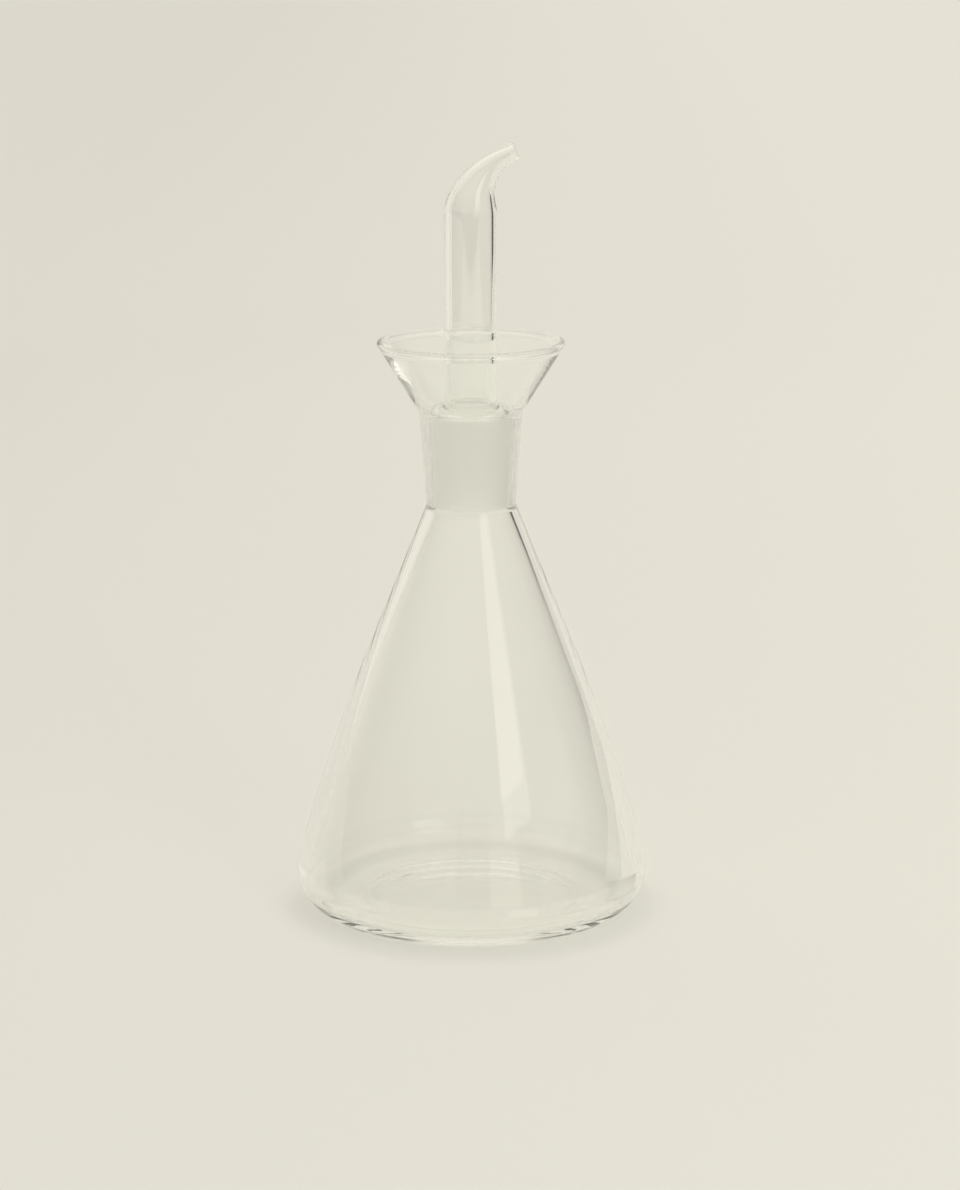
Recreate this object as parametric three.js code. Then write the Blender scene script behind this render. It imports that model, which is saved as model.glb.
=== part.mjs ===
// Oil cruet in clear blown glass, empty: a conical flask with a funnel lip, and a hollow
// stopper that is a ground cone below, a straight tube above and a bent spout at the top.
// Lengths are in millimetres. +Z is up, and the origin is on the axis at the base.
// Both pieces are turned: an outline of radius and height goes once round the axis.
import * as THREE from 'three';

// Underside and heel of the flask
const DOME_RISE = 2.2;            // the underside rises to this in the middle
const DOME_SHOULDER = 18;         // radius where the dome starts to fall away
const DOME_ROUND = 150;
const FOOT_INNER = 35;            // flat ring that the flask stands on
const HEEL_CORNER = 54.6;         // where the wall, carried on down, meets the table
const HEEL_ROUND = 12.1;

// Wall of the flask: nearly straight, with a slight outward swell
const WALL_BEND_HEIGHT = 48.5;
const WALL_BEND_OUTER = 41.25;
const WALL_BEND_INNER = 37.75;
const WALL_SWELL = 560;
const FLOOR_THICK = 3;
const DOME_THICK = 2.8;
const HEEL_INNER_CORNER = 49.4;
const HEEL_INNER_ROUND = 9;

// Neck and ground socket
const NECK_FOOT = { radius: 12.75, height: 118.9, round: 6 };
const NECK_TOP = { radius: 14.72, height: 145.9, round: 5 };
const SOCKET_TOP = { radius: 12, height: 145.6, round: 2.5 };
const SOCKET_LENGTH = 26.8;
const GROUND_TAPER = 1 / 20;      // loss of radius for each millimetre down the cone
const THROAT_DROP = 1.2;          // plain neck left between the socket and the body
const THROAT_ROUND = 5;

// Funnel lip, ending in a fire-polished bead
const BEAD_CENTRE = { radius: 25.65, height: 165.2 };
const BEAD_RADIUS = 0.95;
const BEAD_START = -33;           // degrees, where the outer wall runs into the bead
const BEAD_END = 227;             // degrees, where the bead meets the inner wall

// Stopper: the cone that sits in the socket, and its shoulder
const CONE_GAP = 0.25;            // clearance between cone and socket
const CONE_BOTTOM = 119.4;
const CONE_TOP = 146.6;
const CONE_TOP_ROUND = 1.5;
const CONE_WALL = 1.6;
const CONE_RIM_ROUND = 0.6;
const SHOULDER_RISE = 2;
const SHOULDER_FILLET = 3;
const CONE_ROOF_DROP = 1.5;       // the inside of the shoulder is this far below its outside
const CONE_ROOF_ROUND = 2;

// Stopper: the tube and the spout, measured along the bent centreline
const TUBE_RADIUS = 7.5;
const TUBE_BORE = 6.25;
const TAPER_START = 198;
const TAPER_EASE = 206;           // still close to full width here
const TAPER_WAIST = 212;          // the narrowing is steepest just below here
const TAPER_END = 223.6;
const TIP_RADIUS = 2.35;
const TIP_BORE = 1.4;
const WAIST_RADIUS = 3.4;
const WAIST_BORE = 2.35;
const TIP_LIP = 0.3;              // how far the polished end stands proud of the spout
const TIP_LIP_LENGTH = 1.2;
const TIP_LIP_ROUND = 0.5;

// Bend of the spout, towards +X
const BEND_START = 202;
const BEND_RADIUS = 18;
const BEND_ANGLE = THREE.MathUtils.degToRad(62);

// Facets
const FLASK_SIDES = 56;
const STOPPER_SIDES = 32;
const TAPER_STEPS = 11;
const BEAD_STEPS = 8;

// A corner of an outline, rounded off with an arc of the given radius in so many steps.
function corner(radius, height, round = 0, steps = 2) {
  return { at: new THREE.Vector2(radius, height), round, steps };
}

// Points of the arc that rounds one corner off between its two neighbours.
function roundCorner(before, here, after) {
  const back = before.at.clone().sub(here.at).normalize();
  const ahead = after.at.clone().sub(here.at).normalize();
  const half = Math.acos(THREE.MathUtils.clamp(back.dot(ahead), -1, 1)) / 2;
  const inward = back.clone().add(ahead).normalize();
  const centre = here.at.clone().addScaledVector(inward, here.round / Math.sin(half));
  const start = here.at.clone().addScaledVector(back, here.round / Math.tan(half)).sub(centre);
  const end = here.at.clone().addScaledVector(ahead, here.round / Math.tan(half)).sub(centre);
  const sweep = Math.atan2(start.cross(end), start.dot(end));
  const points = [];
  for (let step = 0; step <= here.steps; step += 1) {
    const turned = start.clone().rotateAround(new THREE.Vector2(), sweep * step / here.steps);
    points.push(turned.add(centre));
  }
  return points;
}

// An outline through corners, the sharp ones kept and the others rounded.
function outline(corners) {
  const points = [];
  corners.forEach((here, index) => {
    if (here.round === 0) {
      points.push(here.at);
    } else {
      points.push(...roundCorner(corners[index - 1], here, corners[index + 1]));
    }
  });
  return points;
}

// Plain corners along an arc, from one angle to another in degrees.
function arcCorners(centre, radius, from, to, steps) {
  const corners = [];
  for (let step = 0; step <= steps; step += 1) {
    const angle = THREE.MathUtils.degToRad(from + (to - from) * step / steps);
    corners.push(corner(
      centre.radius + radius * Math.cos(angle),
      centre.height + radius * Math.sin(angle),
    ));
  }
  return corners;
}

// Plain corners down the smooth narrowing from the tube to the tip of the spout.
function taperCorners(full, waist, tip) {
  const curve = new THREE.CubicBezierCurve(
    new THREE.Vector2(full, TAPER_START),
    new THREE.Vector2(full, TAPER_EASE),
    new THREE.Vector2(waist, TAPER_WAIST),
    new THREE.Vector2(tip, TAPER_END),
  );
  return curve.getPoints(TAPER_STEPS).map((point) => corner(point.x, point.y));
}

// Turns an outline round the axis and stands it up along +Z.
function turned(points, sides) {
  const geometry = new THREE.LatheGeometry(points, sides);
  geometry.rotateX(Math.PI / 2);
  return geometry;
}

// Radius of the ground socket at a height.
function socketRadius(height) {
  return SOCKET_TOP.radius - GROUND_TAPER * (SOCKET_TOP.height - height);
}

function flaskOutline() {
  const socketEnd = SOCKET_TOP.height - SOCKET_LENGTH;
  const throat = socketEnd - THROAT_DROP;
  return outline([
    corner(0, DOME_RISE),
    corner(DOME_SHOULDER, DOME_RISE, DOME_ROUND),
    corner(FOOT_INNER, 0),
    corner(HEEL_CORNER, 0, HEEL_ROUND, 7),
    corner(WALL_BEND_OUTER, WALL_BEND_HEIGHT, WALL_SWELL, 4),
    corner(NECK_FOOT.radius, NECK_FOOT.height, NECK_FOOT.round),
    corner(NECK_TOP.radius, NECK_TOP.height, NECK_TOP.round, 3),
    ...arcCorners(BEAD_CENTRE, BEAD_RADIUS, BEAD_START, BEAD_END, BEAD_STEPS),
    corner(SOCKET_TOP.radius, SOCKET_TOP.height, SOCKET_TOP.round),
    corner(socketRadius(throat), throat, THROAT_ROUND),
    corner(WALL_BEND_INNER, WALL_BEND_HEIGHT, WALL_SWELL, 3),
    corner(HEEL_INNER_CORNER, FLOOR_THICK, HEEL_INNER_ROUND, 6),
    corner(FOOT_INNER, FLOOR_THICK),
    corner(DOME_SHOULDER, DOME_RISE + DOME_THICK, DOME_ROUND),
    corner(0, DOME_RISE + DOME_THICK),
  ]);
}

function stopperOutline() {
  const coneFoot = socketRadius(CONE_BOTTOM) - CONE_GAP;
  const coneHead = socketRadius(CONE_TOP) - CONE_GAP;
  const shoulder = CONE_TOP + SHOULDER_RISE;
  const rim = corner(coneFoot - CONE_WALL / 2, CONE_BOTTOM);
  const lipStart = TAPER_END + TIP_LIP;
  const lipEnd = lipStart + TIP_LIP_LENGTH;
  return outline([
    rim,
    corner(coneFoot, CONE_BOTTOM, CONE_RIM_ROUND),
    corner(coneHead, CONE_TOP, CONE_TOP_ROUND, 3),
    corner(TUBE_RADIUS, shoulder, SHOULDER_FILLET, 3),
    ...taperCorners(TUBE_RADIUS, WAIST_RADIUS, TIP_RADIUS),
    corner(TIP_RADIUS + TIP_LIP, lipStart),
    corner(TIP_RADIUS + TIP_LIP, lipEnd, TIP_LIP_ROUND),
    corner(TIP_BORE, lipEnd, TIP_LIP_ROUND),
    ...taperCorners(TUBE_BORE, WAIST_BORE, TIP_BORE).reverse(),
    corner(TUBE_BORE, shoulder - CONE_ROOF_DROP / 2, CONE_ROOF_ROUND),
    corner(coneHead - CONE_WALL, CONE_TOP - CONE_ROOF_DROP, CONE_ROOF_ROUND),
    corner(coneFoot - CONE_WALL, CONE_BOTTOM, CONE_RIM_ROUND),
    rim,
  ]);
}

// Bends what lies above BEND_START over to +X: round an arc, then straight on.
function bendSpout(geometry) {
  const place = geometry.getAttribute('position');
  for (let index = 0; index < place.count; index += 1) {
    const along = place.getZ(index) - BEND_START;
    if (along > 0) {
      const turn = Math.min(along / BEND_RADIUS, BEND_ANGLE);
      const beyond = along - turn * BEND_RADIUS;
      const across = place.getX(index);
      place.setX(
        index,
        BEND_RADIUS * (1 - Math.cos(turn)) + beyond * Math.sin(turn) + across * Math.cos(turn),
      );
      place.setZ(
        index,
        BEND_START + BEND_RADIUS * Math.sin(turn) + beyond * Math.cos(turn) - across * Math.sin(turn),
      );
    }
  }
  geometry.computeVertexNormals();
  return geometry;
}

function glassPiece(name, geometry, colour, roughness) {
  const material = new THREE.MeshStandardMaterial({
    color: colour,
    roughness,
    metalness: 0,
    transparent: true,
    opacity: 0.35,
  });
  const piece = new THREE.Mesh(geometry, material);
  piece.name = name;
  return piece;
}

const cruet = new THREE.Group();
cruet.add(glassPiece('flask', turned(flaskOutline(), FLASK_SIDES), 0xe9ece4, 0.03));
cruet.add(glassPiece(
  'spout_stopper',
  bendSpout(turned(stopperOutline(), STOPPER_SIDES)),
  0xe4e7de,
  0.05,
));

export default cruet;
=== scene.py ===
"""An empty cruet of clear blown glass, standing in a soft studio.

The flask and its hollow spout stopper are drawn as outlines and spun, as a glass lathe turns them,
and the spout is bent along a centreline. Both have polished and ground glass. Sizes are in
millimetres in the classes and become metres when a mesh is made.
"""
from __future__ import annotations

import logging
import math
from dataclasses import dataclass, field
from enum import Enum

import bpy
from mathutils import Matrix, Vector


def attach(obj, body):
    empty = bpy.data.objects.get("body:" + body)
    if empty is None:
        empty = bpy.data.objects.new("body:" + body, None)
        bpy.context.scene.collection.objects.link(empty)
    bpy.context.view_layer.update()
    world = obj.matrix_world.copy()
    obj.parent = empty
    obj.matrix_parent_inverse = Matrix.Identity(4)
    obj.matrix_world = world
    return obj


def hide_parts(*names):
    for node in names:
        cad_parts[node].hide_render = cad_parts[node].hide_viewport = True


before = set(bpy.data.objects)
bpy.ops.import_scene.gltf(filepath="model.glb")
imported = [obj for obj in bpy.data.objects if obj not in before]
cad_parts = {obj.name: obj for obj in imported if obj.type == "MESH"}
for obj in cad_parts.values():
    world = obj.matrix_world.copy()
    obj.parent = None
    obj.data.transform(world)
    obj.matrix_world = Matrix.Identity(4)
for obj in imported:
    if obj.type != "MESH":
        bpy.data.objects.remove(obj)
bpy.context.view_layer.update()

MM = 0.001
FULL_TURN = 2.0 * math.pi
HALF = 0.5
LOG = logging.getLogger("cruet")


class Skin(Enum):
    """The two skins that the glass has, by the place of their material on a piece."""

    POLISHED = 0
    GROUND = 1


@dataclass(frozen=True)
class Corner:
    """A corner of an outline, sharp or rounded off with an arc.

    Attributes:
        radius: Distance from the axis.
        height: Height above the table.
        fillet: Radius of the arc, or 0 where the corner stays sharp.
        steps: Straight bits in the arc.
    """

    radius: float
    height: float
    fillet: float = 0.0
    steps: int = 8

    @property
    def at(self) -> Vector:
        """The corner as a point of radius and height."""
        return Vector((self.radius, self.height))

    def rounded(self, before: Corner, after: Corner) -> list[Vector]:
        """Draws the corner between its two neighbours.

        Args:
            before: The corner before this one.
            after: The corner after this one.

        Returns:
            The points of the arc, or the corner itself where it is sharp.
        """
        if not self.fillet:
            return [self.at]
        back = (before.at - self.at).normalized()
        ahead = (after.at - self.at).normalized()
        half = back.angle(ahead) / 2.0
        inward = (back + ahead).normalized()
        centre = self.at + inward * (self.fillet / math.sin(half))
        reach = self.fillet / math.tan(half)
        start = self.at + back * reach - centre
        end = self.at + ahead * reach - centre
        side = math.copysign(1.0, start.x * end.y - start.y * end.x)
        sweep = side * start.angle(end)
        points = []
        for step in range(self.steps + 1):
            angle = sweep * step / self.steps
            turned = Vector((
                start.x * math.cos(angle) - start.y * math.sin(angle),
                start.x * math.sin(angle) + start.y * math.cos(angle),
            ))
            points.append(centre + turned)
        return points


@dataclass(frozen=True)
class Outline:
    """A chain of corners that a glass lathe would follow.

    Attributes:
        corners: The corners in order.
        pitch: Longest straight bit, so that the surface is even enough to be uneven.
    """

    corners: list[Corner]
    pitch: float

    def points(self) -> list[Vector]:
        """Draws the whole outline.

        Returns:
            Points of radius and height in millimetres, none further apart than the pitch.
        """
        drawn: list[Vector] = []
        last = len(self.corners) - 1
        for index, corner in enumerate(self.corners):
            before = self.corners[max(index - 1, 0)]
            after = self.corners[min(index + 1, last)]
            drawn += corner.rounded(before, after)
        even = [drawn[0]]
        for point in drawn[1:]:
            start = even[-1].copy()
            bits = max(1, math.ceil((point - start).length / self.pitch))
            even += [start.lerp(point, bit / bits) for bit in range(1, bits + 1)]
        return even


def leave_all() -> None:
    """Leaves edit mode and deselects everything, the loaded nodes included."""
    if bpy.context.object and bpy.context.object.mode != "OBJECT":
        bpy.ops.object.mode_set(mode="OBJECT")
    bpy.ops.object.select_all(action="DESELECT")


def take(piece: bpy.types.Object) -> None:
    """Makes one piece the selected and active one."""
    leave_all()
    piece.select_set(True)
    bpy.context.view_layer.objects.active = piece


@dataclass
class TurnedGlass:
    """A piece of glass turned from an outline. The sub-assemblies are kinds of it."""

    name: str = "glass"
    node: str = "glass"
    slot: str = "glass"
    turns: int = 128
    seam: float = 0.004
    piece: bpy.types.Object | None = field(default=None, init=False)

    def outline(self) -> Outline:
        """Gives the outline to turn."""
        raise NotImplementedError

    def is_ground(self, centre: Vector) -> bool:
        """Tells whether the face with this centre, in millimetres, belongs to the ground joint."""
        raise NotImplementedError

    def trace(self) -> None:
        """Draws the outline as a chain of edges in the plane of X and Z."""
        points = self.outline().points()
        leave_all()
        first = Vector((points[0].x, 0.0, points[0].y)) * MM
        bpy.ops.mesh.primitive_plane_add(size=MM, location=first)
        self.piece = bpy.context.object
        self.piece.name = self.name
        self.piece.data.name = self.name
        bpy.ops.object.transform_apply(location=True, rotation=True, scale=True)
        bpy.ops.object.mode_set(mode="EDIT")
        bpy.ops.mesh.select_mode(type="VERT")
        bpy.ops.mesh.select_all(action="SELECT")
        bpy.ops.mesh.merge(type="CENTER")
        for before, after in zip(points, points[1:]):
            step = (after - before) * MM
            bpy.ops.mesh.extrude_vertices_move(TRANSFORM_OT_translate={"value": (step.x, 0.0, step.y)})

    def turn(self) -> None:
        """Spins the outline round the axis and closes its seam and poles."""
        bpy.ops.mesh.select_all(action="SELECT")
        bpy.ops.mesh.spin(steps=self.turns, angle=FULL_TURN, center=(0.0, 0.0, 0.0), axis=(0.0, 0.0, 1.0))
        bpy.ops.mesh.select_all(action="SELECT")
        bpy.ops.mesh.remove_doubles(threshold=self.seam * MM)
        bpy.ops.mesh.normals_make_consistent(inside=False)
        bpy.ops.object.mode_set(mode="OBJECT")
        bpy.ops.object.shade_smooth()

    def grind(self) -> None:
        """Gives the faces of the ground joint the ground skin."""
        take(self.piece)
        for polygon in self.piece.data.polygons:
            ground = self.is_ground(polygon.center / MM)
            polygon.material_index = Skin.GROUND.value if ground else Skin.POLISHED.value

    def ripple(self, name: str, height: float, length: float) -> None:
        """Makes the wall slightly uneven, as hand work leaves it.

        Args:
            name: Name of the unevenness.
            height: From the lowest to the highest, in millimetres.
            length: Distance from one swell to the next, in millimetres.
        """
        take(self.piece)
        swell = bpy.data.textures.new(f"{self.name}_{name}", "CLOUDS")
        swell.noise_scale = length * MM
        swell.noise_depth = 0
        bpy.ops.object.modifier_add(type="DISPLACE")
        modifier = self.piece.modifiers[-1]
        modifier.name = name
        modifier.texture = swell
        modifier.texture_coords = "LOCAL"
        modifier.strength = height * MM
        modifier.mid_level = 0.5
        bpy.ops.object.modifier_apply(modifier=modifier.name)

    def dress(self, finishes: dict[Skin, bpy.types.Material]) -> None:
        """Puts the materials on and ties the piece to the frame.

        Args:
            finishes: The material for each skin.
        """
        for skin in Skin:
            self.piece.data.materials.append(finishes[skin])
        self.grind()
        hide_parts(self.node)
        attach(self.piece, "root")

    def report(self) -> None:
        """Logs how large the piece came out."""
        low = Vector(min(v.co[axis] for v in self.piece.data.vertices) for axis in range(3)) / MM
        high = Vector(max(v.co[axis] for v in self.piece.data.vertices) for axis in range(3)) / MM
        faces = len(self.piece.data.polygons)
        LOG.info("%s: %d faces, from %s to %s mm", self.name, faces, low.to_tuple(1), high.to_tuple(1))


@dataclass
class Joint:
    """The ground joint, a cone that loses a twentieth of its length in radius.

    Attributes:
        top_radius: Radius of the socket at its top.
        top_height: Height of its top.
        length: How far it is ground.
        taper: Loss of radius for each millimetre down.
        gap: Room between the socket and the cone.
        reach: How far from the joint's radius a face may lie and still belong to it.
    """

    top_radius: float = 12.0
    top_height: float = 145.6
    length: float = 26.8
    taper: float = 1.0 / 20.0
    gap: float = 0.25
    reach: float = 0.4

    @property
    def foot_height(self) -> float:
        """Height at which the socket ends."""
        return self.top_height - self.length

    def radius(self, height: float) -> float:
        """Radius of the socket at a height."""
        return self.top_radius - self.taper * (self.top_height - height)


@dataclass
class Flask(TurnedGlass):
    """The conical body with its neck, socket and funnel lip, all one piece of glass."""

    name: str = "cruet_flask"
    node: str = "flask"
    slot: str = "flask_glass"
    turns: int = 160
    joint: Joint = field(default_factory=Joint)
    pitch: float = 1.5
    dome_rise: float = 2.2
    dome_thick: float = 2.8
    dome_shoulder: float = 18.0
    dome_round: float = 150.0
    foot_inner: float = 31.5
    floor_thick: float = 4.0
    floor_round: float = 25.0
    heel_corner: float = 54.6
    heel_round: float = 12.1
    heel_inner_corner: float = 49.1
    heel_inner_round: float = 5.5
    wall_bend_height: float = 48.5
    wall_bend_outer: float = 41.25
    wall_bend_inner: float = 37.75
    wall_swell: float = 560.0
    neck_foot: Corner = Corner(12.75, 118.9, 6.0, 10)
    neck_top: Corner = Corner(14.72, 145.9, 5.0, 10)
    socket_round: float = 2.5
    throat_drop: float = 1.2
    throat_round: float = 5.0
    unground_top: float = 1.2
    bead_centre: Corner = Corner(25.65, 165.2)
    bead_radius: float = 0.95
    bead_start: float = -33.0
    bead_end: float = 227.0
    bead_steps: int = 20

    def bead(self) -> list[Corner]:
        """Draws the fire-polished bead of the lip.

        Returns:
            Corners round the bead, from the outer wall over the top to the inner wall.
        """
        corners = []
        for step in range(self.bead_steps + 1):
            share = step / self.bead_steps
            angle = math.radians(self.bead_start + (self.bead_end - self.bead_start) * share)
            corners.append(Corner(
                self.bead_centre.radius + self.bead_radius * math.cos(angle),
                self.bead_centre.height + self.bead_radius * math.sin(angle),
            ))
        return corners

    def outline(self) -> Outline:
        """Goes under the foot, up outside, over the lip and down inside to the floor."""
        throat = self.joint.foot_height - self.throat_drop
        dome_top = self.dome_rise + self.dome_thick
        return Outline(
            corners=[
                Corner(0.0, self.dome_rise),
                Corner(self.dome_shoulder, self.dome_rise, self.dome_round, 12),
                Corner(self.foot_inner, 0.0),
                Corner(self.heel_corner, 0.0, self.heel_round, 24),
                Corner(self.wall_bend_outer, self.wall_bend_height, self.wall_swell, 40),
                self.neck_foot,
                self.neck_top,
                *self.bead(),
                Corner(self.joint.top_radius, self.joint.top_height, self.socket_round, 8),
                Corner(self.joint.radius(throat), throat, self.throat_round, 8),
                Corner(self.wall_bend_inner, self.wall_bend_height, self.wall_swell, 40),
                Corner(self.heel_inner_corner, self.floor_thick, self.heel_inner_round, 20),
                Corner(self.foot_inner, self.floor_thick, self.floor_round, 8),
                Corner(self.dome_shoulder, dome_top, self.dome_round, 12),
                Corner(0.0, dome_top),
            ],
            pitch=self.pitch,
        )

    def is_ground(self, centre: Vector) -> bool:
        """The socket is the inner wall of the neck, all along the joint."""
        out = Vector((centre.x, centre.y, 0.0)).length
        inner = abs(out - self.joint.radius(centre.z)) < self.joint.reach
        return inner and self.joint.foot_height < centre.z < self.joint.top_height - self.unground_top

    def build(self) -> None:
        """Turns the flask and makes it slightly uneven."""
        self.trace()
        self.turn()
        self.ripple("slow_swell", height=0.10, length=32.0)
        self.ripple("short_swell", height=0.02, length=11.0)


@dataclass
class SpoutStopper(TurnedGlass):
    """The hollow stopper: ground cone, shoulder, tube and bent spout, all one piece of glass."""

    name: str = "cruet_spout_stopper"
    node: str = "spout_stopper"
    slot: str = "stopper_glass"
    turns: int = 96
    joint: Joint = field(default_factory=Joint)
    pitch: float = 1.0
    cone_bottom: float = 119.4
    cone_top: float = 146.6
    cone_top_round: float = 1.5
    cone_wall: float = 1.6
    cone_rim_round: float = 0.6
    unground_foot: float = 0.4
    unground_top: float = 0.8
    shoulder_rise: float = 0.7
    shoulder_fillet: float = 1.6
    roof_drop: float = 1.5
    roof_round: float = 1.2
    tube_radius: float = 7.5
    tube_bore: float = 5.95
    taper_start: float = 201.0
    taper_ease: float = 207.5
    taper_waist: float = 212.0
    taper_end: float = 223.6
    taper_steps: int = 30
    tip_radius: float = 2.35
    tip_bore: float = 1.4
    waist_radius: float = 3.4
    waist_bore: float = 2.35
    tip_lip: float = 0.3
    tip_lip_length: float = 1.2
    tip_lip_round: float = 0.5
    bend_start: float = 202.0
    bend_radius: float = 18.0
    bend_angle: float = math.radians(62.0)
    bend_steps: int = 64
    past_the_bend: float = 40.0

    def taper(self, full: float, waist: float, tip: float) -> list[Corner]:
        """Draws the smooth narrowing from the tube to the tip.

        Args:
            full: Radius of the tube.
            waist: Radius that steers the curve on its way.
            tip: Radius at the tip.

        Returns:
            Corners along the narrowing, from the tube up.
        """
        guides = [
            Vector((full, self.taper_start)),
            Vector((full, self.taper_ease)),
            Vector((waist, self.taper_waist)),
            Vector((tip, self.taper_end)),
        ]
        corners = []
        for step in range(self.taper_steps + 1):
            along = step / self.taper_steps
            left = 1.0 - along
            point = (
                guides[0] * left**3
                + guides[1] * 3.0 * left**2 * along
                + guides[2] * 3.0 * left * along**2
                + guides[3] * along**3
            )
            corners.append(Corner(point.x, point.y))
        return corners

    def outline(self) -> Outline:
        """Goes from the rim of the cone up outside, over the tip and down inside to the rim."""
        foot = self.joint.radius(self.cone_bottom) - self.joint.gap
        head = self.joint.radius(self.cone_top) - self.joint.gap
        shoulder = self.cone_top + self.shoulder_rise
        lip_start = self.taper_end + self.tip_lip
        lip_end = lip_start + self.tip_lip_length
        rim = Corner(foot - self.cone_wall / 2.0, self.cone_bottom)
        return Outline(
            corners=[
                rim,
                Corner(foot, self.cone_bottom, self.cone_rim_round, 4),
                Corner(head, self.cone_top, self.cone_top_round, 6),
                Corner(self.tube_radius, shoulder, self.shoulder_fillet, 10),
                *self.taper(self.tube_radius, self.waist_radius, self.tip_radius),
                Corner(self.tip_radius + self.tip_lip, lip_start),
                Corner(self.tip_radius + self.tip_lip, lip_end, self.tip_lip_round, 5),
                Corner(self.tip_bore, lip_end, self.tip_lip_round, 5),
                *reversed(self.taper(self.tube_bore, self.waist_bore, self.tip_bore)),
                Corner(self.tube_bore, shoulder - self.roof_drop / 2.0, self.roof_round, 6),
                Corner(head - self.cone_wall, self.cone_top - self.roof_drop, self.roof_round, 6),
                Corner(foot - self.cone_wall, self.cone_bottom, self.cone_rim_round, 4),
                rim,
            ],
            pitch=self.pitch,
        )

    def is_ground(self, centre: Vector) -> bool:
        """The cone is ground on its outside, up to its rounded shoulder."""
        out = Vector((centre.x, centre.y, 0.0)).length
        outer = abs(out - self.joint.radius(centre.z) + self.joint.gap) < self.joint.reach
        low = self.cone_bottom + self.unground_foot
        high = self.cone_top - self.unground_top
        return outer and low < centre.z < high

    def bend(self) -> None:
        """Bends the spout over a centreline: straight up, round an arc, then straight on."""
        leave_all()
        bpy.ops.curve.primitive_bezier_curve_add(radius=MM, location=(0.0, 0.0, 0.0))
        centreline = bpy.context.object
        bpy.ops.object.mode_set(mode="EDIT")
        bpy.ops.curve.select_all(action="SELECT")
        bpy.ops.curve.subdivide(number_cuts=2)
        bpy.ops.object.mode_set(mode="OBJECT")
        spline = centreline.data.splines[0]
        spline.resolution_u = self.bend_steps
        centreline.data.resolution_u = self.bend_steps
        centreline.data.twist_mode = "MINIMUM"
        sine = math.sin(self.bend_angle)
        cosine = math.cos(self.bend_angle)
        up = Vector((0.0, 0.0, 1.0))
        onward = Vector((sine, 0.0, cosine))
        turn_start = up * self.bend_start
        turn_end = turn_start + Vector((1.0 - cosine, 0.0, sine)) * self.bend_radius
        arm = 4.0 / 3.0 * math.tan(self.bend_angle / 4.0) * self.bend_radius
        stations = [
            (Vector((0.0, 0.0, 0.0)), up),
            (turn_start, up),
            (turn_end, onward),
            (turn_end + onward * self.past_the_bend, onward),
        ]
        for point, (place, heading) in zip(spline.bezier_points, stations):
            point.handle_left_type = "FREE"
            point.handle_right_type = "FREE"
            point.co = place * MM
            point.handle_left = (place - heading * arm) * MM
            point.handle_right = (place + heading * arm) * MM
        take(self.piece)
        bpy.ops.object.modifier_add(type="CURVE")
        modifier = self.piece.modifiers[-1]
        modifier.object = centreline
        modifier.deform_axis = "POS_Z"
        bpy.ops.object.modifier_apply(modifier=modifier.name)
        take(centreline)
        bpy.ops.object.delete()
        take(self.piece)

    def build(self) -> None:
        """Turns the stopper and bends its spout."""
        self.trace()
        self.turn()
        self.bend()
        self.ripple("slow_swell", height=0.06, length=24.0)


@dataclass(frozen=True)
class NodeBench:
    """Lays out the nodes of one material or world."""

    tree: bpy.types.NodeTree

    def add(self, kind: str, **settings: object) -> bpy.types.Node:
        """Adds a node.

        Args:
            kind: The node's type name.
            **settings: Properties of the node, or values of its inputs by name with _ for spaces.

        Returns:
            The new node.
        """
        node = self.tree.nodes.new(kind)
        for key, value in settings.items():
            label = key.replace("_", " ")
            if hasattr(node, key):
                setattr(node, key, value)
            else:
                node.inputs[label].default_value = value
        return node

    def join(self, source: bpy.types.NodeSocket, target: bpy.types.NodeSocket) -> None:
        """Links one socket to another."""
        self.tree.links.new(source, target)


def new_material(name: str) -> tuple[bpy.types.Material, NodeBench, bpy.types.Node]:
    """Starts a material.

    Args:
        name: The material's name.

    Returns:
        The material, its bench and its principled shader, already joined to the output.
    """
    material = bpy.data.materials.new(name)
    material.use_nodes = True
    material.node_tree.nodes.clear()
    bench = NodeBench(material.node_tree)
    output = bench.add("ShaderNodeOutputMaterial")
    shader = bench.add("ShaderNodeBsdfPrincipled")
    bench.join(shader.outputs["BSDF"], output.inputs["Surface"])
    return material, bench, shader


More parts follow.
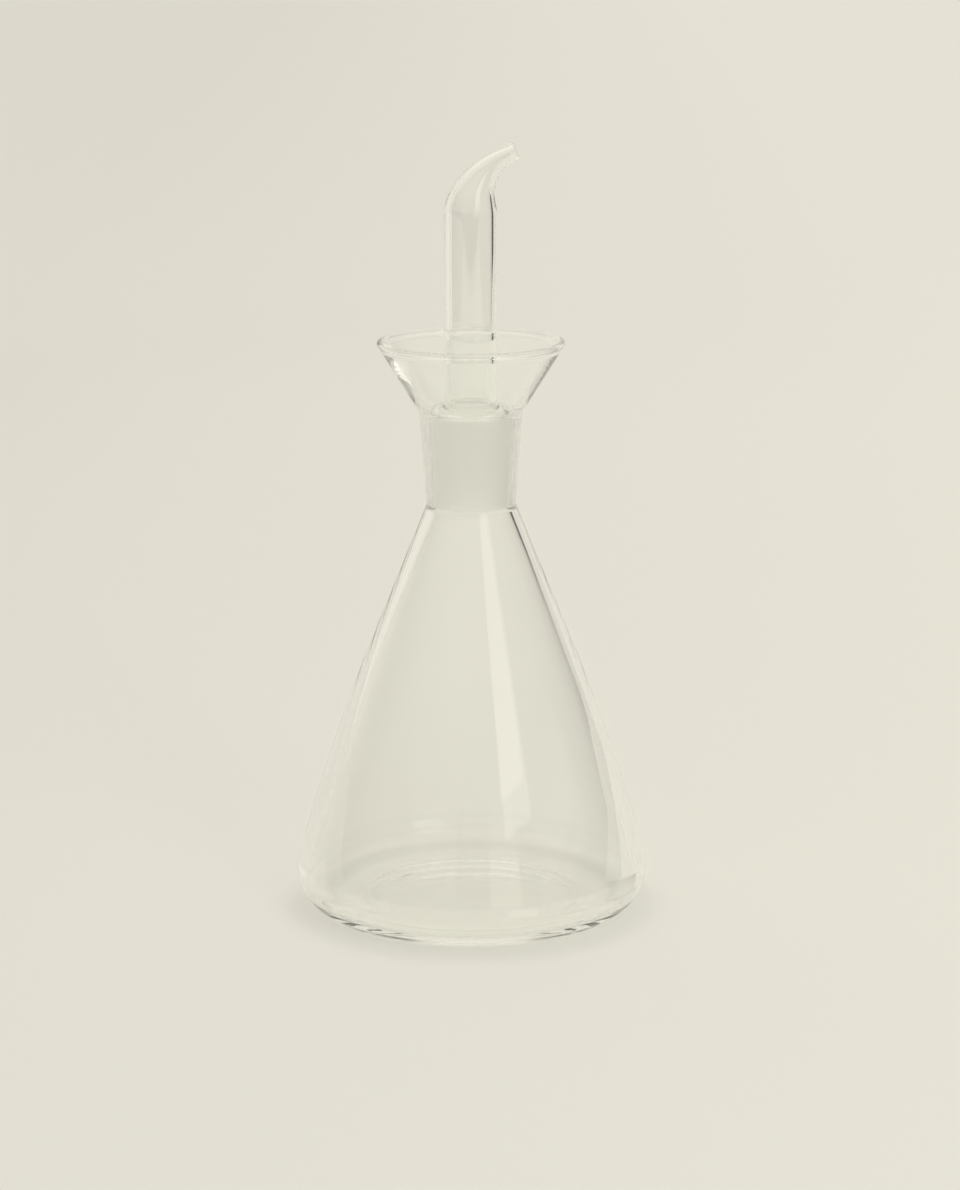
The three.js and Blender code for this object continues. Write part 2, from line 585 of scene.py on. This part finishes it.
@dataclass(frozen=True)
class GlassFinish:
    """Glass, clear or ground.

    Attributes:
        name: Name of the material.
        tint: Colour that light takes on at each surface.
        index: Refractive index.
        smooth: Lowest roughness.
        rough: Highest roughness.
        patch: Size of the patches of roughness, in millimetres.
        bump_height: Height of the fine relief, in millimetres.
        bump_length: Size of the fine relief, in millimetres.
        noise_low: Noise at which the roughness is lowest.
        noise_high: Noise at which it is highest.
    """

    name: str
    tint: tuple[float, float, float]
    index: float
    smooth: float
    rough: float
    patch: float
    bump_height: float
    bump_length: float
    noise_low: float = 0.35
    noise_high: float = 0.65

    def material(self) -> bpy.types.Material:
        """Mixes the material."""
        material, bench, shader = new_material(self.name)
        shader.inputs["Base Color"].default_value = (*self.tint, 1.0)
        shader.inputs["IOR"].default_value = self.index
        shader.inputs["Transmission Weight"].default_value = 1.0
        place = bench.add("ShaderNodeTexCoord")
        patches = bench.add("ShaderNodeTexNoise", Scale=1.0 / (self.patch * MM), Detail=3.0)
        bench.join(place.outputs["Object"], patches.inputs["Vector"])
        spread = bench.add("ShaderNodeMapRange", To_Min=self.smooth, To_Max=self.rough)
        spread.inputs["From Min"].default_value = self.noise_low
        spread.inputs["From Max"].default_value = self.noise_high
        bench.join(patches.outputs["Fac"], spread.inputs["Value"])
        bench.join(spread.outputs["Result"], shader.inputs["Roughness"])
        relief = bench.add("ShaderNodeTexNoise", Scale=1.0 / (self.bump_length * MM), Detail=2.0)
        bench.join(place.outputs["Object"], relief.inputs["Vector"])
        bump = bench.add("ShaderNodeBump", Strength=1.0, Distance=self.bump_height * MM)
        bench.join(relief.outputs["Fac"], bump.inputs["Height"])
        bench.join(bump.outputs["Normal"], shader.inputs["Normal"])
        return material


GLASS = {
    Skin.POLISHED: GlassFinish(
        name="polished_glass", tint=(0.992, 0.995, 0.985), index=1.473, smooth=0.0, rough=0.02,
        patch=14.0, bump_height=0.004, bump_length=9.0,
    ),
    Skin.GROUND: GlassFinish(
        name="ground_glass", tint=(0.950, 0.955, 0.945), index=1.473, smooth=0.40, rough=0.54,
        patch=5.0, bump_height=0.006, bump_length=0.5,
    ),
}


@dataclass(frozen=True)
class PaperFinish:
    """The pale matt paper of the floor, its colour painted a shade lighter towards the right as painted
    light from that side.

    Attributes:
        name: Name of the material.
        left: Colour on the left, darker as painted shade.
        right: Colour on the right, lighter as painted light from the lamps on that side.
        reach: Distance from the middle at which each colour is full, in metres.
        fleck: How much darker the fibres are.
        grain: Size of the fibres, in millimetres.
        roughness: How matt it is.
        shine: How much it reflects at all.
    """

    name: str = "pale_paper"
    left: tuple[float, float, float] = (0.868, 0.873, 0.868)
    right: tuple[float, float, float] = (0.950, 0.950, 0.945)
    reach: float = 0.30
    fleck: float = 0.985
    grain: float = 1.2
    roughness: float = 0.9
    shine: float = 0.1

    def material(self) -> bpy.types.Material:
        """Mixes the material."""
        material, bench, shader = new_material(self.name)
        shader.inputs["Roughness"].default_value = self.roughness
        shader.inputs["Specular IOR Level"].default_value = self.shine
        place = bench.add("ShaderNodeTexCoord")
        parts = bench.add("ShaderNodeSeparateXYZ")
        bench.join(place.outputs["Object"], parts.inputs["Vector"])
        # painted light: the paper's colour ramps from darker at the left to lighter at the right, standing
        # in for light falling from the right
        across = bench.add("ShaderNodeMapRange")
        across.inputs["From Min"].default_value = -self.reach
        across.inputs["From Max"].default_value = self.reach
        bench.join(parts.outputs["X"], across.inputs["Value"])
        painted_side_light = bench.add("ShaderNodeValToRGB")
        painted_side_light.color_ramp.elements[0].color = (*self.left, 1.0)
        painted_side_light.color_ramp.elements[1].color = (*self.right, 1.0)
        bench.join(across.outputs["Result"], painted_side_light.inputs["Fac"])
        grain = bench.add("ShaderNodeTexNoise", Scale=1.0 / (self.grain * MM), Detail=4.0)
        bench.join(place.outputs["Object"], grain.inputs["Vector"])
        fleck = bench.add("ShaderNodeMapRange", To_Min=self.fleck, To_Max=1.0)
        bench.join(grain.outputs["Fac"], fleck.inputs["Value"])
        scale = bench.add("ShaderNodeVectorMath", operation="SCALE")
        bench.join(painted_side_light.outputs["Color"], scale.inputs[0])
        bench.join(fleck.outputs["Result"], scale.inputs["Scale"])
        bench.join(scale.outputs["Vector"], shader.inputs["Base Color"])
        return material


@dataclass(frozen=True)
class Stop:
    """A level of light at a place on a scale from 0 to 1."""

    at: float
    level: float


@dataclass
class Room:
    """The soft room round the table: bright above, behind and at the back left, dark elsewhere.

    Attributes:
        colour: Colour of the light.
        strength: Level of all of the light.
        round_the_horizon: Levels by direction, from the front by way of the left, the back and
            the right to the front again.
        overhead: Level straight up.
        overhead_from: Height of a direction, as a sine, where the overhead light starts.
        overhead_to: Height of a direction, as a sine, where it is full.
        backdrop: Colour of the plain backdrop past the paper's edge.
        straight_through_before: Part of a direction that points to the back, under which rays that
            went straight through the glass see the backdrop.
    """

    colour: tuple[float, float, float] = (1.0, 0.962, 0.845)
    strength: float = 0.87
    round_the_horizon: list[Stop] = field(default_factory=lambda: [
        Stop(0.00, 0.12),
        Stop(0.27, 0.10),
        Stop(0.35, 0.80),
        Stop(0.42, 0.92),
        Stop(0.50, 0.92),
        Stop(0.608, 0.92),
        Stop(0.622, 0.08),
        Stop(0.82, 0.10),
        Stop(0.90, 0.16),
        Stop(1.00, 0.12),
    ])
    overhead: float = 1.08
    overhead_from: float = 0.08
    overhead_to: float = 0.70
    backdrop: tuple[float, float, float] = (0.768, 0.737, 0.645)
    straight_through_before: float = 0.3

    def build(self) -> None:
        """Hangs the light round the scene."""
        world = bpy.data.worlds.new("soft_room")
        bpy.context.scene.world = world
        world.use_nodes = True
        world.node_tree.nodes.clear()
        bench = NodeBench(world.node_tree)
        light = self.directional_light(bench)
        plain = bench.add("ShaderNodeBackground")
        plain.inputs["Color"].default_value = (*self.backdrop, 1.0)
        seen = bench.add("ShaderNodeMixShader")
        bench.join(self.looking_at_it(bench), seen.inputs[0])
        bench.join(light.outputs["Background"], seen.inputs[1])
        bench.join(plain.outputs["Background"], seen.inputs[2])
        output = bench.add("ShaderNodeOutputWorld")
        bench.join(seen.outputs["Shader"], output.inputs["Surface"])

    def looking_at_it(self, bench: NodeBench) -> bpy.types.NodeSocket:
        """Tells the rays that show the backdrop from those that carry the light.

        The camera sees the backdrop. So does a ray that only went straight through the glass, where it
        looks to the side or to the front: that is what the cruet stands before when seen from behind.

        Args:
            bench: Where the nodes are laid out.

        Returns:
            The socket that is 1 for the backdrop and 0 for the light.
        """
        path = bench.add("ShaderNodeLightPath")
        place = bench.add("ShaderNodeTexCoord")
        parts = bench.add("ShaderNodeSeparateXYZ")
        bench.join(place.outputs["Generated"], parts.inputs["Vector"])
        aside = bench.add("ShaderNodeMath", operation="LESS_THAN")
        bench.join(parts.outputs["Y"], aside.inputs[0])
        aside.inputs[1].default_value = self.straight_through_before
        unreflected = bench.add("ShaderNodeMath", operation="LESS_THAN")
        bench.join(path.outputs["Glossy Depth"], unreflected.inputs[0])
        unreflected.inputs[1].default_value = HALF
        product = path.outputs["Is Transmission Ray"]
        for factor in (aside, unreflected):
            both = bench.add("ShaderNodeMath", operation="MULTIPLY")
            bench.join(product, both.inputs[0])
            bench.join(factor.outputs["Value"], both.inputs[1])
            product = both.outputs["Value"]
        either = bench.add("ShaderNodeMath", operation="MAXIMUM")
        bench.join(path.outputs["Is Camera Ray"], either.inputs[0])
        bench.join(product, either.inputs[1])
        return either.outputs["Value"]

    def directional_light(self, bench: NodeBench) -> bpy.types.Node:
        """Mixes the light that differs with direction.

        Args:
            bench: Where the nodes are laid out.

        Returns:
            The background node.
        """
        place = bench.add("ShaderNodeTexCoord")
        parts = bench.add("ShaderNodeSeparateXYZ")
        bench.join(place.outputs["Generated"], parts.inputs["Vector"])
        bearing = bench.add("ShaderNodeMath", operation="ARCTAN2")
        bench.join(parts.outputs["X"], bearing.inputs[0])
        bench.join(parts.outputs["Y"], bearing.inputs[1])
        share = bench.add("ShaderNodeMath", operation="MULTIPLY_ADD")
        bench.join(bearing.outputs["Value"], share.inputs[0])
        share.inputs[1].default_value = 1.0 / FULL_TURN
        share.inputs[2].default_value = HALF
        ramp = bench.add("ShaderNodeValToRGB")
        ramp.color_ramp.interpolation = "EASE"
        elements = ramp.color_ramp.elements
        while len(elements) < len(self.round_the_horizon):
            elements.new(HALF)
        for element, stop in zip(elements, self.round_the_horizon):
            element.position = stop.at
            element.color = (stop.level, stop.level, stop.level, 1.0)
        bench.join(share.outputs["Value"], ramp.inputs["Fac"])
        rise = bench.add("ShaderNodeMapRange", interpolation_type="SMOOTHSTEP")
        rise.inputs["From Min"].default_value = self.overhead_from
        rise.inputs["From Max"].default_value = self.overhead_to
        bench.join(parts.outputs["Z"], rise.inputs["Value"])
        level = bench.add("ShaderNodeMix", data_type="FLOAT")
        floats = [s for s in level.inputs if s.type == "VALUE"]
        bench.join(rise.outputs["Result"], floats[0])
        bench.join(ramp.outputs["Color"], floats[1])
        floats[2].default_value = self.overhead
        power = bench.add("ShaderNodeMath", operation="MULTIPLY")
        bench.join([s for s in level.outputs if s.type == "VALUE"][0], power.inputs[0])
        power.inputs[1].default_value = self.strength
        light = bench.add("ShaderNodeBackground")
        light.inputs["Color"].default_value = (*self.colour, 1.0)
        bench.join(power.outputs["Value"], light.inputs["Strength"])
        return light


@dataclass(frozen=True)
class Softbox:
    """A soft lamp that stands round the table and looks at the cruet.

    Attributes:
        name: The lamp's name.
        bearing: Degrees from the back, clockwise seen from above.
        rise: Degrees above the horizon.
        distance: Metres from what it looks at.
        width: Metres across.
        height: Metres from its lower to its upper edge.
        level: Light of its face, where white paper gives 1.
        in_glass: Whether the glass shows the lamp.
        left_edge: Share of the width over which the light fades out to the left.
        right_edge: The same to the right.
        low_edge: The same downwards, as a share of the height.
        colour: Colour of the light.
        aim: The place that it looks at.
    """

    name: str
    bearing: float
    rise: float
    distance: float
    width: float
    height: float
    level: float
    in_glass: bool = True
    left_edge: float = 0.06
    right_edge: float = 0.10
    low_edge: float = 0.05
    colour: tuple[float, float, float] = (1.0, 0.962, 0.845)
    aim: tuple[float, float, float] = (0.0, 0.0, 0.11)

    def face(self) -> bpy.types.Material:
        """Mixes the glowing cloth of the lamp, which fades out at its edges."""
        material = bpy.data.materials.new(f"{self.name}_face")
        material.use_nodes = True
        material.node_tree.nodes.clear()
        bench = NodeBench(material.node_tree)
        place = bench.add("ShaderNodeTexCoord")
        parts = bench.add("ShaderNodeSeparateXYZ")
        bench.join(place.outputs["Object"], parts.inputs["Vector"])
        product = None
        for axis, start, end in (
            ("X", -HALF, -HALF + self.left_edge),
            ("X", HALF, HALF - self.right_edge),
            ("Y", -HALF, -HALF + self.low_edge),
        ):
            fade = bench.add("ShaderNodeMapRange", interpolation_type="SMOOTHSTEP")
            fade.inputs["From Min"].default_value = start
            fade.inputs["From Max"].default_value = end
            bench.join(parts.outputs[axis], fade.inputs["Value"])
            if product is None:
                product = fade.outputs["Result"]
            else:
                both = bench.add("ShaderNodeMath", operation="MULTIPLY")
                bench.join(product, both.inputs[0])
                bench.join(fade.outputs["Result"], both.inputs[1])
                product = both.outputs["Value"]
        power = bench.add("ShaderNodeMath", operation="MULTIPLY")
        bench.join(product, power.inputs[0])
        power.inputs[1].default_value = self.level
        glow = bench.add("ShaderNodeEmission")
        glow.inputs["Color"].default_value = (*self.colour, 1.0)
        bench.join(power.outputs["Value"], glow.inputs["Strength"])
        output = bench.add("ShaderNodeOutputMaterial")
        bench.join(glow.outputs["Emission"], output.inputs["Surface"])
        return material

    def build(self) -> None:
        """Sets the lamp up, unseen by the camera itself."""
        bearing = math.radians(self.bearing)
        rise = math.radians(self.rise)
        away = Vector((
            math.sin(bearing) * math.cos(rise),
            math.cos(bearing) * math.cos(rise),
            math.sin(rise),
        ))
        leave_all()
        place = Vector(self.aim) + away * self.distance
        turn = away.to_track_quat("Z", "Y").to_euler()
        bpy.ops.mesh.primitive_plane_add(size=1.0, location=place, rotation=turn)
        lamp = bpy.context.object
        lamp.name = self.name
        lamp.scale = (self.width, self.height, 1.0)
        lamp.visible_camera = False
        lamp.visible_glossy = self.in_glass
        lamp.visible_transmission = self.in_glass
        lamp.data.materials.append(self.face())


SOFTBOXES = (
    Softbox("key_softbox", bearing=145.3, rise=24.6, distance=1.3, width=0.53, height=0.57, level=1.85),
    Softbox(
        "left_card", bearing=-37.0, rise=0.0, distance=0.95, width=0.66, height=0.36, level=0.84,
        left_edge=0.02, right_edge=0.02, low_edge=0.001, aim=(0.0, 0.0, 0.18),
    ),
    Softbox("front_card", bearing=157.0, rise=6.5, distance=1.5, width=0.60, height=0.34, level=0.75),
    Softbox("low_right_card", bearing=111.0, rise=8.5, distance=1.5, width=1.30, height=0.22, level=0.42),
    Softbox("low_left_card", bearing=-152.0, rise=12.5, distance=1.5, width=1.10, height=0.22, level=0.38),
    Softbox(
        "shadow_softbox", bearing=150.0, rise=24.0, distance=1.3, width=0.45, height=0.45, level=3.0,
        in_glass=False, left_edge=0.3, right_edge=0.3, low_edge=0.3, colour=(0.80, 1.0, 0.84),
    ),
)


@dataclass
class Studio:
    """Floor, room, lamps and camera.

    The long bounce counts are for light that runs up and down inside the glass wall.
    """

    floor_back: float = 9.0
    floor_front: float = -1.3
    floor_left: float = -7.0
    floor_right: float = 1.0
    floor_height: float = -0.00006
    lens: float = 108.15
    sensor: float = 36.0
    eye: tuple[float, float, float] = (0.00246, -1.0, 0.32)
    pitch: float = 12.83
    roll: float = -0.08
    clip_start: float = 0.01
    clip_end: float = 100.0
    glass_bounces: int = 96
    glossy_bounces: int = 48
    diffuse_bounces: int = 4

    def lay_floor(self) -> None:
        """Lays the pale paper that the cruet stands on."""
        leave_all()
        middle = Vector((
            (self.floor_left + self.floor_right) / 2.0,
            (self.floor_back + self.floor_front) / 2.0,
            self.floor_height,
        ))
        bpy.ops.mesh.primitive_plane_add(size=1.0, location=middle)
        floor = bpy.context.object
        floor.name = "floor"
        floor.scale = (self.floor_right - self.floor_left, self.floor_back - self.floor_front, 1.0)
        bpy.ops.object.transform_apply(location=True, rotation=True, scale=True)
        floor.data.materials.append(PaperFinish().material())

    def place_camera(self) -> None:
        """Looks at the cruet from the photograph's height and distance."""
        leave_all()
        tilt = math.radians(90.0 - self.pitch)
        bpy.ops.object.camera_add(location=self.eye, rotation=(tilt, 0.0, 0.0))
        camera = bpy.context.object
        camera.rotation_euler.rotate_axis("Z", math.radians(self.roll))
        camera.data.lens = self.lens
        camera.data.sensor_width = self.sensor
        camera.data.sensor_fit = "AUTO"
        camera.data.clip_start = self.clip_start
        camera.data.clip_end = self.clip_end
        bpy.context.scene.camera = camera

    def build(self) -> None:
        """Sets the whole studio up."""
        self.place_camera()
        self.lay_floor()
        Room().build()
        for softbox in SOFTBOXES:
            softbox.build()
        scene = bpy.context.scene
        scene.view_settings.view_transform = "Standard"
        scene.view_settings.look = "None"
        scene.cycles.max_bounces = self.glass_bounces
        scene.cycles.transmission_bounces = self.glass_bounces
        scene.cycles.glossy_bounces = self.glossy_bounces
        scene.cycles.diffuse_bounces = self.diffuse_bounces
        scene.cycles.blur_glossy = 0.0


def main() -> None:
    """Builds the studio and the two pieces of glass, and reports each."""
    logging.basicConfig(level=logging.INFO, format="%(name)s: %(message)s")
    Studio().build()
    LOG.info("studio: floor, room, %d lamps and camera", len(SOFTBOXES))
    finishes = {skin: finish.material() for skin, finish in GLASS.items()}
    for glass in (Flask(), SpoutStopper()):
        glass.build()
        glass.dress(finishes)
        glass.report()


if __name__ == "__main__":
    main()
